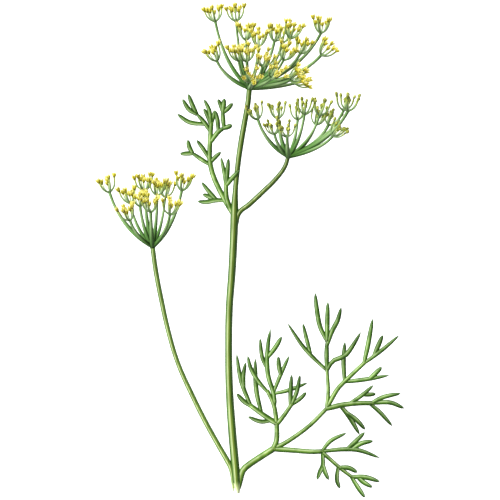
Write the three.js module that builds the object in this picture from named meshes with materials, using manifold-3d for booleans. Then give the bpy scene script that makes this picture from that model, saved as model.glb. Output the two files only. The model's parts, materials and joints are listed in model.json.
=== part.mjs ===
// A flowering dill sprig, cut and laid on its side.
// Millimetres, +Z up. It lies on z = 0, with its foot towards -Y and its top umbel towards +Y.
// Plan points are measured from the middle of the cut foot, and the whole is centred at the end.

import * as THREE from 'three';
import { mergeVertices } from 'three/addons/utils/BufferGeometryUtils.js';
import Module from 'manifold-3d';

const wasm = await Module();
wasm.setup();

// Driving dimensions
const CENTRE = [8.8, 142.3];
const GAP = 0.3;
const STEM_WIDE = 5;
const LOBE_WIDE = 2.5;
const LOBE_THICK = 1.1;
const RIB_WIDE = 3;
const SLIM_RIB_WIDE = 2.5;
const RIB_THICK = 1.6;
const PETIOLE_WIDE = 3.6;
const PETIOLE_THICK = 2.2;
const RAY_WIDE = 2.2;
const PEDICEL_WIDE = 0.9;
const FLORET_WIDE = 3.4;
const BUD_WIDE = 2;
const BOSS_WIDE = 2.4;
const HUB_WIDE = 3.2;
const HUB_RISE = 1.3;
const CUP_RADIUS = 5.4;
const CUP_HEIGHT = 10;
const CUP_KNEE = 0.15;
const THINNEST = 0.6;

// Heights at which the leaves leave the stem
const LOWER_ROOT_HEIGHT = 2.2;
const UPPER_ROOT_HEIGHT = 11;

// Where a ray bends: shares of the way from the hub to its tip, along X, Y and Z
const RAY_BEND = new THREE.Vector3(0.75, 0.35, 0.75);

// Where a ray narrows: place along it, and its share of the full width there
const RAY_TAPER = [[0, 1], [0.4, 0.9], [0.75, 0.8]];

// Coarseness of the solids
const STEM_SIDES = 10;
const STALK_SIDES = 8;
const STRAND_STEP = 8;
const LAST_ROW = 0.93;
const ROOT_SAMPLES = 24;

// Rings of an umbellet: how far out and how high its heads stand, as shares of the cup
const RING_COUNT = 5;
const OUTER_RING = { spread: 1, rise: 1, seed: 0.1 };
const INNER_RING = { spread: 0.62, rise: 0.74, seed: 7.1 };

// Colours of the living plant
const COLOUR = { stem: 0x7f9a45, leaf: 0x5f8a45, flower: 0xc9b83c, bud: 0x98ad52 };

// Main stem: plan place, height of its middle, and width
const MAIN_STEM = [
  [0.3, 0, 2.4, STEM_WIDE],
  [0, 7.5, 2.3, 5.1],
  [-1, 19, 2.3, 5.1],
  [-2.5, 36, 2.4, 5],
  [-4, 60, 3.2, 4.6],
  [-4.4, 85, 4.6, 4.4],
  [-4, 108, 6.2, 4.5],
  [-2.4, 130, 8, 4.7],
  [-1.3, 152, 9.8, 4.9],
  [-0.9, 164, 10.8, 5.1],
  [-0.8, 168, 11.2, 4.6],
  [-0.3, 179, 12.4, 3.2],
  [1.2, 194, 14.2, 3.4],
  [3, 207, 15.8, 3.6],
  [5.2, 219.5, 17.4, 3.5],
  [7.2, 231, 18.9, 3.4],
  [8, 239, 20, 3.3],
];

const LEFT_STALK = [
  [-1.4, 8, 2.4, 2.8],
  [-3.2, 12.5, 2.4, 3.4],
  [-5.4, 16.5, 2.5, 3.4],
  [-10.3, 25, 3, 3.2],
  [-17.9, 38.7, 4, 3.2],
  [-26.5, 56, 5.4, 3.1],
  [-34.9, 75, 7, 2.9],
  [-40.5, 93.7, 8.6, 3],
  [-44.8, 113, 10.3, 3.1],
  [-48.1, 130.4, 11.8, 3.1],
  [-50, 144, 13, 3],
];

const RIGHT_STALK = [
  [-0.4, 162.5, 11, 2.6],
  [1.6, 165.4, 11.2, 3.1],
  [7.8, 170, 12, 3.3],
  [16, 177.6, 13.2, 3.2],
  [23.9, 185.4, 14.5, 3],
  [29.4, 192.9, 15.5, 2.8],
  [31.2, 198, 16, 2.6],
];

// Umbels: hub, and for each ray its tip, the size of its umbellet, and how far that is turned towards +Y
const TOP_UMBEL = {
  seed: 1000,
  hub: [8, 239.6, 20],
  rays: [
    [-12.5, 280, 7, 1],
    [0, 280, 15, 0.95],
    [6, 268.5, 25, 0.95],
    [13.5, 264.5, 34, 1],
    [23, 268, 18, 0.95],
    [28, 267.5, 6, 0.9],
    [32.5, 269.5, 27, 1],
    [38.5, 260.5, 16, 0.95, 0.5],
    [51, 273, 9, 1, 0.9],
    [51, 259.5, 24, 1],
    [-11.5, 256, 21, 0.95],
    [1.5, 256, 29, 0.9],
    [6.5, 255.5, 39, 0.95],
    [16, 252.5, 41, 0.95],
    [28.5, 256.5, 31, 1],
    [9.5, 243.5, 42, 0.9],
    [21.5, 245.5, 37, 0.95],
    [32.5, 244.5, 30, 1],
    [35.5, 243, 8, 0.9],
  ],
  innerTurns: [0, 2, 3],
};

const LEFT_UMBEL = {
  seed: 2000,
  hub: [-50, 144.6, 13],
  rays: [
    [-76, 177.5, 9, 1],
    [-63.5, 171, 6, 0.95],
    [-63.5, 160.5, 24, 0.95],
    [-57.5, 169, 18, 0.9],
    [-55, 178.5, 10, 1],
    [-51, 165.5, 30, 0.95],
    [-47, 175.5, 22, 1],
    [-42.5, 174.5, 6, 0.95],
    [-32.5, 178.5, 14, 1],
    [-39.5, 164, 27, 0.95],
  ],
  innerTurns: [0, 2, 3],
};

const RIGHT_UMBEL = {
  seed: 3000,
  hub: [31.3, 198.6, 16],
  rays: [
    [13, 221, 30, 0.95],
    [25, 221.5, 18, 0.9],
    [23, 212, 31, 0.85],
    [30.5, 210.5, 34, 0.85],
    [37, 221, 7, 0.9],
    [41, 224, 25, 0.9],
    [48, 218, 10, 0.9],
    [50, 223.5, 22, 0.95, 0.4],
    [55.5, 218, 6, 0.95],
    [64.5, 226.5, 17, 1, 0.8],
    [67, 226, 27, 1, 0.6],
    [58, 211, 24, 0.9],
  ],
  innerTurns: [0, 2],
};

// Leaves: a strand's plan points follow its lift, its height above the leaf's own surface at its end
const petiole = (lift, ...path) => ({ wide: PETIOLE_WIDE, thick: PETIOLE_THICK, taper: 0.85, lift, path });
const rib = (lift, ...path) => ({ wide: RIB_WIDE, thick: RIB_THICK, taper: 0.75, lift, path });
const slimRib = (lift, ...path) => ({ ...rib(lift, ...path), wide: SLIM_RIB_WIDE });
const lobe = (lift, ...path) => ({ wide: LOBE_WIDE, thick: LOBE_THICK, taper: 0.3, lift, path });

const LOWER_LEAF = [
  petiole(0, [0.5, 3.5], [2.6, 7], [4.8, 11.2], [12.5, 17], [22.5, 23.4]),

  // First branch, towards the top
  rib(0, [22.5, 23.4], [24.4, 29], [24.5, 39]),
  rib(0.6, [24.5, 38], [28.5, 43], [33.4, 50]),
  lobe(1.5, [32.6, 49], [32.8, 58], [33.4, 68]),
  lobe(2.5, [33.4, 50], [36.6, 58], [38.5, 68]),
  lobe(0.5, [32.8, 49.4], [38.7, 53.7], [42.2, 57.4]),
  rib(0.8, [24.5, 38.5], [22.8, 49.4], [19, 58]),
  lobe(1, [19.4, 57], [13, 64.6], [8.8, 72], [7, 79.6]),
  lobe(4, [23, 48], [23, 55.3], [19.6, 66], [18.6, 76], [19.4, 87.4], [20.8, 95.7]),
  lobe(2, [18.6, 71.5], [15.6, 79], [14.4, 90]),
  lobe(5, [18.8, 78], [23.8, 84.6], [27.5, 91]),
  lobe(2.5, [22.4, 57], [27, 68.4], [32, 79.4]),
  lobe(5, [26.8, 68], [25.8, 73], [25.4, 79]),
  lobe(-2.5, [22.8, 56.6], [29.6, 58], [35.5, 60], [43, 63]),
  rib(0.2, [24.4, 38.4], [16.4, 43.8], [8.7, 49.4]),
  lobe(0.4, [9.4, 48.8], [4.6, 52], [0.4, 56.6]),
  lobe(0, [9, 49.2], [5, 58.5], [2.3, 67.6], [0.4, 80.6]),
  lobe(2, [4.8, 59.4], [4.4, 67], [5.8, 75.4]),
  lobe(-2, [15.4, 44.6], [12.6, 56], [11.7, 66], [11.6, 77.8]),
  lobe(-1, [21.6, 40.4], [14.6, 39.8], [7.1, 42.7]),

  // Second branch, the longest
  slimRib(0.4, [22, 23.2], [31, 27.8], [43.8, 37], [54.6, 47.7]),
  slimRib(1, [54.4, 47.4], [55.4, 58], [54.6, 71.2]),
  lobe(1.2, [54.6, 70.6], [54.4, 80], [54.6, 89]),
  lobe(1.2, [54.6, 88], [50.4, 97], [48.4, 108], [47.5, 117.2]),
  lobe(2.4, [54.6, 88], [54.8, 100], [55.1, 111.8]),
  lobe(0.4, [54.5, 85], [57.6, 94], [61, 100.6], [63.2, 108.6]),
  lobe(2.2, [54.6, 70.4], [46, 78.6], [39.4, 86], [30.7, 99.2]),
  lobe(0.6, [45, 79.6], [42.6, 88.5], [40.1, 98.9]),
  lobe(3.2, [54.6, 70], [58, 76], [65.4, 79.4], [70.2, 85.6], [75, 93.7]),
  rib(0.6, [54.6, 48], [60.5, 58.6], [66, 64.6], [77.2, 75.2]),
  lobe(1.4, [76.6, 74.6], [83, 79.2], [89.9, 84.6], [98, 91.7]),
  lobe(2, [76.8, 74.8], [79.4, 86.7], [82, 101.7]),
  lobe(0, [82.6, 79], [85.4, 85.4], [88.1, 91.7]),
  lobe(-2.5, [65.2, 63.8], [64.6, 76], [65.4, 87.7]),
  lobe(0.4, [65.2, 63.6], [72.3, 64.4], [81, 65.6], [92.1, 67.6]),
  lobe(1.6, [80, 65.4], [84, 69], [87.5, 72.6]),
  rib(0.4, [54.4, 47.4], [64, 49.8], [74, 50.8], [82, 50.8]),
  lobe(1.2, [81, 50.8], [88.9, 54.6], [99, 56.7]),
  lobe(0.2, [81.4, 50.8], [92.4, 51.2], [101.2, 47.6]),
  lobe(-0.6, [80, 50.8], [86.6, 45.2], [94, 36.9]),
  lobe(1.4, [67.8, 50.4], [75.4, 55.4], [82.5, 61.6]),
  lobe(0.4, [76, 55.8], [80, 56], [84, 56.4]),
  lobe(-1.6, [62.6, 49.4], [68, 42.6], [74.3, 31.8]),
  lobe(-0.4, [66, 45.6], [72.5, 40.6], [77.7, 34.8]),

  // Third branch, along the ground
  rib(-0.5, [22, 23.2], [32, 22.6], [44.7, 21.6], [52, 21.8]),
  lobe(0.8, [51.4, 21.6], [57, 28.2], [66.4, 32.9]),
  lobe(0, [51, 21.7], [64, 23], [74.2, 22.4], [86.6, 17.8]),
  lobe(1, [66.6, 23.1], [72.2, 28.2], [77.4, 33.4]),
  lobe(0.2, [69.6, 23], [75.4, 26.6], [82.5, 28.1]),
  slimRib(-0.5, [51.4, 21.6], [57.4, 16.3], [63.6, 10.9], [70.2, 6]),
  lobe(-0.4, [69.4, 6.5], [78, 6.2], [86.4, 3.6]),
  lobe(-0.2, [73, 6.4], [76.4, 3.4], [82, 0.1]),
  lobe(-0.2, [69, 6.8], [73.6, -0.4], [77.5, -6]),
  lobe(0.8, [62, 12.2], [67.9, 11.8], [73, 9.1]),
  lobe(0, [61.4, 12.8], [60.6, 5], [62.4, -0.6]),
  lobe(-0.3, [51.8, 21.8], [52.2, 13.9], [50.4, 9.6], [48.6, 4.6]),
  lobe(0.3, [52.2, 14.4], [53.4, 9.6], [55.7, 4.6]),
];

const UPPER_LEAF = [
  rib(0, [-0.8, 163], [-3.4, 167.4], [-8, 175.2], [-13.4, 186.6], [-15.7, 196], [-15.7, 206], [-14.9, 219]),
  rib(5.5, [-3, 166.6], [-5.6, 174], [-6, 182]),
  lobe(7, [-6, 180.6], [-7, 189], [-9, 198.4]),
  lobe(9, [-5.9, 180], [-5.2, 189], [-4.4, 197.9]),
  lobe(11.5, [-6, 181], [-2.6, 185.6], [2.5, 191]),
  lobe(1.5, [-6.6, 172.6], [-12.6, 172.6], [-18, 171.6], [-23.2, 172]),
  lobe(-0.5, [-10.4, 172.6], [-15.2, 174.4], [-20, 176.4]),
  lobe(2.5, [-11.4, 172.8], [-15.8, 177.4], [-20.7, 183.6]),
  lobe(0.4, [-15.6, 194], [-21, 197.4], [-27, 201.6]),
  lobe(0.5, [-25.6, 200.8], [-29, 200.8], [-33.7, 200.5]),
  lobe(1.6, [-26, 201], [-28, 204.6], [-29, 209]),
  lobe(0.6, [-15.7, 197], [-19.6, 203.4], [-23.7, 209]),
  lobe(1.4, [-15.6, 195], [-12.4, 198.6], [-9, 201.7]),
  lobe(0.5, [-15.2, 213.6], [-19, 219.4], [-24, 225]),
  lobe(0.2, [-23.4, 224.2], [-26.4, 230.4], [-28.7, 236.6]),
  lobe(1.4, [-23.4, 224.2], [-28.4, 227.4], [-32.2, 233.6]),
  lobe(0.8, [-18.4, 218.4], [-28, 219.6], [-35.4, 224.6]),
  lobe(0.3, [-15, 217.6], [-16.6, 222.4], [-19.5, 228]),
  lobe(1.8, [-15, 217], [-15.9, 226], [-19.2, 233.4]),
  lobe(0.1, [-14.9, 218], [-13.6, 223], [-12.5, 226.9]),
  lobe(3.6, [-15.6, 207], [-10.8, 213.6], [-6.8, 216.2]),
  lobe(4.4, [-7.6, 215.8], [-4.6, 216.8], [-2.3, 218]),
  lobe(5.4, [-10.6, 213.8], [-11, 220], [-12.2, 226.4]),
  lobe(4.6, [-7.2, 216], [-7.8, 222], [-8, 226.4]),
  lobe(4.8, [-8, 225.4], [-9, 229.4], [-10.9, 233.4]),
  lobe(5.6, [-8, 225.4], [-7.4, 230], [-7, 233.8]),
  lobe(4.6, [-7.9, 225], [-4.6, 228], [-1.9, 231]),
];

// The lower leaf climbs gently towards its top lobes
const lowerLeafHeight = (x, y) => 1.1 + 0.105 * Math.max(0, y - 25);

// The upper leaf starts at the stem's node and droops towards the surface
function upperLeafHeight(x, y) {
  const away = Math.min(1, Math.hypot(x + 2, y - 165) / 62);
  return 1.4 + 9.8 * (1 - away) ** 2;
}

// A repeatable draw between 0 and 1
function draw(seed) {
  const value = Math.sin(seed * 12.9898) * 43758.5453;
  return value - Math.floor(value);
}

const vector = (point) => new THREE.Vector3(point[0], point[1], point[2]);
const smoothCurve = (points) => new THREE.CatmullRomCurve3(points, false, 'centripetal');

function solidFrom(geometry) {
  const bare = geometry.clone();
  bare.deleteAttribute('normal');
  bare.deleteAttribute('uv');
  const merged = mergeVertices(bare, 1e-5);
  return new wasm.Manifold(new wasm.Mesh({
    numProp: 3,
    vertProperties: new Float32Array(merged.attributes.position.array),
    triVerts: new Uint32Array(merged.index.array),
  }));
}

// A closed shoot: a sphere's rows of points, drawn out along a curve. Each row is its place on the
// curve, half its width and half its thickness, and the first and last rows are single points.
function shoot(curve, sides, rows, turn = 0) {
  const ball = new THREE.SphereGeometry(1, sides, rows.length - 1);
  const place = ball.attributes.position;
  const steep = [0, 0.5, 1].some((u) => Math.abs(curve.getTangent(u).z) > 0.9);
  const upright = steep ? new THREE.Vector3(0, -1, 0) : new THREE.Vector3(0, 0, 1);
  for (let i = 0; i < place.count; i += 1) {
    const row = rows.length - 1 - Math.floor(i / (sides + 1));
    const [u, halfWide, halfThick] = rows[row];
    const along = curve.getTangent(u);
    const across = new THREE.Vector3().crossVectors(along, upright).normalize();
    const over = new THREE.Vector3().crossVectors(across, along);
    const angle = turn - (i % (sides + 1)) * Math.PI * 2 / sides;
    const point = curve.getPoint(u);
    point.addScaledVector(across, Math.cos(angle) * halfWide);
    point.addScaledVector(over, Math.sin(angle) * halfThick);
    place.setXYZ(i, point.x, point.y, Math.max(0, point.z));
  }
  return solidFrom(ball);
}

// A round stem or stalk through points that each give a width, with flat ends
function stalk(points, sides) {
  const last = points.length - 1;
  const rows = points.map((point, i) => [i / last, point[3] / 2, point[3] / 2]);
  return shoot(smoothCurve(points.map(vector)), sides, [[0, 0, 0], ...rows, [1, 0, 0]]);
}

const joined = (solids) => solids.reduce((whole, solid) => whole.add(solid));

function meshOf(name, solid, color) {
  const body = solid.getMesh();
  const geometry = new THREE.BufferGeometry();
  geometry.setAttribute('position', new THREE.BufferAttribute(body.vertProperties, 3));
  geometry.setIndex(new THREE.BufferAttribute(body.triVerts, 1));
  geometry.computeVertexNormals();
  const material = new THREE.MeshStandardMaterial({ color, roughness: 0.6, metalness: 0 });
  const mesh = new THREE.Mesh(geometry, material);
  mesh.name = name;
  return mesh;
}

// One strand of a leaf: flat underneath and on top, and narrowing to its tip
function strandSolid(curve, { wide, thick, taper }) {
  const steps = Math.max(2, Math.round(curve.getLength() / STRAND_STEP));
  const rows = [[0, 0, 0]];
  for (let i = 0; i <= steps; i += 1) {
    const narrow = THREE.MathUtils.lerp(1, taper, (i / steps) ** 2);
    const halfThick = Math.max(THINNEST, thick * narrow) / 2;
    rows.push([LAST_ROW * i / steps, wide * narrow * Math.SQRT1_2, halfThick * Math.SQRT2]);
  }
  return shoot(curve, 4, [...rows, [1, 0, 0]], Math.PI / 4);
}

// Leaf strands, each starting at the height of the strand that it grows from
function leaf(strands, heightAt, rootHeight) {
  const grown = [];
  const solids = strands.map((strand) => {
    const { thick, lift, path } = strand;
    const [rootX, rootY] = path[0];
    const distance = (place) => Math.hypot(place.x - rootX, place.y - rootY);
    const parent = grown.reduce((best, place) => (distance(place) < distance(best) ? place : best), {
      x: rootX, y: rootY - 1e3, lift: rootHeight - heightAt(rootX, rootY),
    });
    const points = path.map(([x, y], i) => {
      const height = heightAt(x, y) + THREE.MathUtils.lerp(parent.lift, lift, i / (path.length - 1));
      return new THREE.Vector3(x, y, Math.max(0.3 * thick, height));
    });
    const curve = smoothCurve(points);
    for (const point of curve.getPoints(ROOT_SAMPLES)) {
      grown.push({ x: point.x, y: point.y, lift: point.z - heightAt(point.x, point.y) });
    }
    return strandSolid(curve, strand);
  });
  return joined(solids);
}

// One pedicel with its floret or bud, drawn out of a face of the boss along a curve
function growHead(corners, face, curve, headWide) {
  const centre = face.reduce((sum, corner) => sum.add(corner), new THREE.Vector3()).divideScalar(3);
  const offsets = face.map((corner) => corner.clone().sub(centre).normalize());
  let along = new THREE.Vector3().crossVectors(offsets[0], offsets[1]).normalize();
  let ring = face;
  const slim = PEDICEL_WIDE / Math.sqrt(3);
  for (const [u, reach] of [[0.4, slim], [0.8, slim], [LAST_ROW, headWide / 2]]) {
    const tangent = curve.getTangent(u);
    const bend = new THREE.Quaternion().setFromUnitVectors(along, tangent);
    offsets.forEach((offset) => offset.applyQuaternion(bend));
    const next = offsets.map((offset) => curve.getPoint(u).addScaledVector(offset, reach));
    for (let i = 0; i < 3; i += 1) {
      const j = (i + 1) % 3;
      corners.push(ring[i], ring[j], next[j], ring[i], next[j], next[i]);
    }
    along = tangent;
    ring = next;
  }
  const top = curve.getPoint(1);
  corners.push(ring[0], ring[1], top, ring[1], ring[2], top, ring[2], ring[0], top);
}

// The curve of one pedicel, from the ray's tip to the top of its head. The outer ring has five heads at
// even turns round the axis, and the inner ring has heads at some of the same turns.
function headPlace({ tip, axis, side, size, seed }, ring, turn) {
  const front = new THREE.Vector3().crossVectors(axis, side);
  const angle = 2 * Math.PI * (draw(seed) + turn / RING_COUNT);
  const radial = side.clone().multiplyScalar(Math.cos(angle)).addScaledVector(front, Math.sin(angle));
  const away = CUP_RADIUS * size * ring.spread * (0.9 + 0.2 * draw(seed + ring.seed + turn));
  const height = CUP_HEIGHT * size * ring.rise * (0.87 + 0.24 * draw(seed + ring.seed + turn + 0.5));
  const knee = tip.clone().addScaledVector(axis, CUP_KNEE * height).addScaledVector(radial, away);
  const end = tip.clone().addScaledVector(axis, height).addScaledVector(radial, away);
  return new THREE.QuadraticBezierCurve3(tip, knee, end);
}

// An umbellet: the upper faces of a small boss, each drawn out into a pedicel with its head
function umbellet(spray, innerTurns, headWide) {
  const { tip, axis, side, seed } = spray;
  const boss = new THREE.IcosahedronGeometry(BOSS_WIDE / 2);
  const peak = vector(boss.attributes.position.array).normalize();
  boss.applyQuaternion(new THREE.Quaternion().setFromUnitVectors(peak, axis));
  const places = boss.attributes.position;
  const faceAt = (i) => [0, 1, 2].map((k) => new THREE.Vector3().fromBufferAttribute(places, i + k));
  const outwardOf = (face) => face[0].clone().add(face[1]).add(face[2]).normalize();
  const front = new THREE.Vector3().crossVectors(axis, side);
  const turnOf = (outward) => {
    const angle = Math.atan2(outward.dot(front), outward.dot(side)) / (2 * Math.PI) - draw(seed);
    return THREE.MathUtils.euclideanModulo(angle * RING_COUNT, RING_COUNT);
  };
  const isUpper = (outward) => outward.dot(axis) > 0;
  const faceCount = places.count / 3;
  const firstUpper = [...Array(faceCount).keys()].map((k) => outwardOf(faceAt(3 * k))).find(isUpper);
  const offset = -turnOf(firstUpper) * 2 * Math.PI / RING_COUNT;
  boss.applyQuaternion(new THREE.Quaternion().setFromAxisAngle(axis, offset));

  const corners = [];
  for (let i = 0; i < places.count; i += 3) {
    const face = faceAt(i);
    const outward = outwardOf(face);
    const turn = Math.round(turnOf(outward)) % RING_COUNT;
    const steep = outward.dot(axis) > 0.5;
    face.forEach((corner) => corner.add(tip));
    if (isUpper(outward) && (!steep || innerTurns.includes(turn))) {
      growHead(corners, face, headPlace(spray, steep ? INNER_RING : OUTER_RING, turn), headWide);
    } else {
      corners.push(...face);
    }
  }
  corners.forEach((corner) => corner.setZ(Math.max(0, corner.z)));
  return solidFrom(new THREE.BufferGeometry().setFromPoints(corners));
}

// One ray with its umbellet, which stands on the ray's end
function raySpray(hub, [x, y, z, size, upright = 0], innerTurns, seed, headWide) {
  const start = vector(hub);
  const tip = new THREE.Vector3(x, y, z);
  const reach = tip.clone().sub(start);
  const bend = start.clone().add(reach.clone().multiply(RAY_BEND));
  const rows = RAY_TAPER.map(([u, share]) => [u, share * RAY_WIDE / 2, share * RAY_WIDE / 2]);
  const curve = new THREE.QuadraticBezierCurve3(start, bend, tip);
  const ray = shoot(curve, 4, [[0, 0, 0], ...rows, [1, 0, 0]]);
  const axis = tip.clone().sub(bend).normalize();
  axis.lerp(new THREE.Vector3(0, 1, 0), upright).normalize();
  const side = new THREE.Vector3().crossVectors(axis, new THREE.Vector3(0, 0, 1)).normalize();
  return ray.add(umbellet({ tip, axis, side, size, seed }, innerTurns, headWide));
}

function umbel({ seed, hub, rays, innerTurns }, headWide) {
  const centre = new THREE.SphereGeometry(HUB_WIDE / 2, 8, 5);
  centre.translate(hub[0], hub[1] + HUB_RISE, hub[2]);
  const sprays = rays.map((ray, i) => raySpray(hub, ray, innerTurns, seed + 20 * i, headWide));
  return joined([solidFrom(centre), ...sprays]);
}

// The same stalk, thicker by the gap all round, to cut its neighbours clear of it
const clearance = (points, sides) => (
  stalk(points.map(([x, y, z, wide]) => [x, y, z, wide + 2 * GAP]), sides)
);

const aroundStem = clearance(MAIN_STEM, STEM_SIDES);
const aroundLeftStalk = clearance(LEFT_STALK, STALK_SIDES);
const aroundRightStalk = clearance(RIGHT_STALK, STALK_SIDES);

const lowerLeaf = leaf(LOWER_LEAF, lowerLeafHeight, LOWER_ROOT_HEIGHT);
const upperLeaf = leaf(UPPER_LEAF, upperLeafHeight, UPPER_ROOT_HEIGHT);

const group = new THREE.Group();
group.position.set(-CENTRE[0], -CENTRE[1], 0);
group.add(
  meshOf('main_stem', stalk(MAIN_STEM, STEM_SIDES), COLOUR.stem),
  meshOf('left_stalk', stalk(LEFT_STALK, STALK_SIDES).subtract(aroundStem), COLOUR.stem),
  meshOf('right_stalk', stalk(RIGHT_STALK, STALK_SIDES).subtract(aroundStem), COLOUR.stem),
  meshOf('lower_leaf', lowerLeaf.subtract(aroundStem), COLOUR.leaf),
  meshOf('upper_leaf', upperLeaf.subtract(aroundStem), COLOUR.leaf),
  meshOf('top_umbel', umbel(TOP_UMBEL, FLORET_WIDE).subtract(aroundStem), COLOUR.flower),
  meshOf('left_umbel', umbel(LEFT_UMBEL, FLORET_WIDE).subtract(aroundLeftStalk), COLOUR.flower),
  meshOf('right_umbel', umbel(RIGHT_UMBEL, BUD_WIDE).subtract(aroundRightStalk), COLOUR.bud),
);

export default group;
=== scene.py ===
# A flowering dill sprig, cut and lying on a pale surface, seen from straight above
import json
import math

import bpy
from mathutils import Matrix, Vector

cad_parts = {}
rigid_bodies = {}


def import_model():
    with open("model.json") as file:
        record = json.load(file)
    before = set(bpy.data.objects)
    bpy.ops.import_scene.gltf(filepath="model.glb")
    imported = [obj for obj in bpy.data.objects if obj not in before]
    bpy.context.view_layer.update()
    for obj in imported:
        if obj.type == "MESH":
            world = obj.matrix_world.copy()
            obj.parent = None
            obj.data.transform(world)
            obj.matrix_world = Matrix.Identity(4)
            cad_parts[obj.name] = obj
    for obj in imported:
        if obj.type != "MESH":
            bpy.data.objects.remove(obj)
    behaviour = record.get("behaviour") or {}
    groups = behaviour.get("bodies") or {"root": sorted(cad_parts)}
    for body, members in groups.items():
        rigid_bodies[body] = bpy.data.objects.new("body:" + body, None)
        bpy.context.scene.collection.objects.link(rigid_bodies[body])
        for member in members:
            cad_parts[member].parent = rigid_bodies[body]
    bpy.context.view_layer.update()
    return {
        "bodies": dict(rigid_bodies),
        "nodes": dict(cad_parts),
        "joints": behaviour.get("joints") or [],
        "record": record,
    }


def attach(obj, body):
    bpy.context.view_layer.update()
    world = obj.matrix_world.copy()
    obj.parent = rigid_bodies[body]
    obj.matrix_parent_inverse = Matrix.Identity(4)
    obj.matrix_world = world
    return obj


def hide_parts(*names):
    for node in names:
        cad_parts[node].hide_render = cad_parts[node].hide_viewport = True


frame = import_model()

# Plan points are in millimetres from the middle of the cut foot, as the solids were drawn
MM = 0.001
CENTRE = Vector((8.8, 142.3, 0))

# Leaf strands, in millimetres
LOBE_WIDE = 2.9
LOBE_THICK = 1.1
RIB_WIDE = 3.3
SLIM_RIB_WIDE = 2.8
RIB_THICK = 1.6
PETIOLE_WIDE = 3.7
PETIOLE_THICK = 2.2
PETIOLE_FADE = 22

# The groove's half width and a strand's lowest place, as shares of its half width and its thickness
GROOVE_HALF_WIDE = 0.3
LOWEST_SHARE = 0.3

# Places that are looked up along a strand, and places that it is drawn out through, which crowd at its tip
ROUTE_STEPS = 24
STRAND_STEPS = 10
STRAND_CROWDING = 1.4

# The rounded fork at a strand's end, and where on the painted highlight-and-shade banding its colour is taken
FORK_SQUEEZE = (1, 1, 0.62)
FORK_SIDE = 0.56

# How strands swell from the foot, as shares of their full width, and narrow towards the tip
PETIOLE_FOOT = 0.4
PETIOLE_FLARE = 3
RIB_FOOT = 0.8
RIB_TAPER = 0.18
LOBE_FOOT = 0.72
LOBE_FULL_AT = 0.5
LOBE_END = 1.003
LOBE_POINT = 5

# How far a petiole, a rib and a lobe take the pale colours of a rib
RIB_TONES = (0.9, 0.55, 0.2)

# Heights of the leaves, in millimetres, as in the solids
LOWER_LEAF_FLOOR = 1.1
LOWER_LEAF_FLAT_TO = 25
LOWER_LEAF_CLIMB = 0.105
UPPER_LEAF_FLOOR = 1.4
UPPER_LEAF_RISE = 9.8
UPPER_LEAF_REACH = 62

# Umbels, in millimetres
RAY_WIDE = 2.3
HUB_RADIUS = 1.8
BOSS_RADIUS = 0.95
PEDICEL_WIDE = 1.2
BUD_WIDE = 2.1
CUP_RADIUS = 5.4
CUP_HEIGHT = 10
CUP_KNEE = 0.15

# Steps of a seed that keep apart what chance decides
STRAND_WIDTH_SEED = 0.5
RAY_STEP_SEED = 20
RAY_WIDTH_SEED = 0.9
RAY_SHADE_SEED = 0.7
HEAD_HEIGHT_SEED = 0.5
FLORET_SEED = 0.13
FLORET_SPIN_SEED = 0.3
FLORET_SHADE_SEED = 0.41

# How much paler than the outer pedicels the inner ones are
INNER_PALE = 0.6

# Where a ray bends: shares of the way from its hub to its tip, along X, Y and Z
RAY_BEND = (0.75, 0.35, 0.75)

# Widths along a ray and along a pedicel, as shares of the full width
RAY_TAPER = (1.05, 1.15, 1.15, 1, 0.85, 0.72, 0.78)
PEDICEL_TAPER = (1.5, 1.1, 0.95, 0.92, 0.92, 0.98, 1)
PEDICEL_END = 0.83

# Least and most that chance makes of a size
STRAND_WIDTHS = (0.9, 1.1)
RAY_WIDTHS = (0.85, 1.25)
HEAD_REACHES = (0.9, 1.1)
HEAD_HEIGHTS = (0.87, 1.11)
FLORET_SIZES = (0.92, 1.1)

# The pale pith at the cut, in millimetres, with its share of the stem's width and how many points it follows
PITH_SHARE = 0.76
PITH_POINTS = 5
PITH_PROUD = 0.12
PITH_RIM = 0.2
PITH_SINK = 0.07
PITH_NEAR = 0.01

# Petals, in millimetres: a goblet of blades, each pushed out in steps from these heights up
PETAL_COUNT = 5
PETAL_LONG = 2.7
PETAL_HALF_WIDE = 0.62
PETAL_HALF_THICK = 0.11
PETAL_FOLD = 0.08
PETAL_MIDLINE = 0.1
PETAL_OUT = 0.35
PETAL_FOOT = 0.55
PETAL_BENDS = ((0.1, 0.4), (0.4, 0.22), (0.8, 0.12), (1.3, 0.1), (1.8, 0.1), (2.3, 0.05), (2.65, -0.15))

# Stamens, in millimetres: where a thread starts and ends, and how much higher every other one ends
THREAD_FOOT = Vector((0.5, 0, 2.1))
THREAD_OUT = 1.5
THREAD_HIGH = 3.7
THREAD_STEP = 0.3

# Rings of an umbellet: how far out and how high the heads stand, as shares of the cup, and how they lean
RING_COUNT = 5
OUTER_RING = {"spread": 1, "rise": 1, "seed": 0.1, "stout": 1, "lean": 0.3}
INNER_RING = {"spread": 0.62, "rise": 0.74, "seed": 7.1, "stout": 0.78, "lean": 0.15}
MIDDLE_RING = {"spread": 0.12, "rise": 0.58, "seed": 13.1, "stout": 0.78, "lean": 0}

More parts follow.
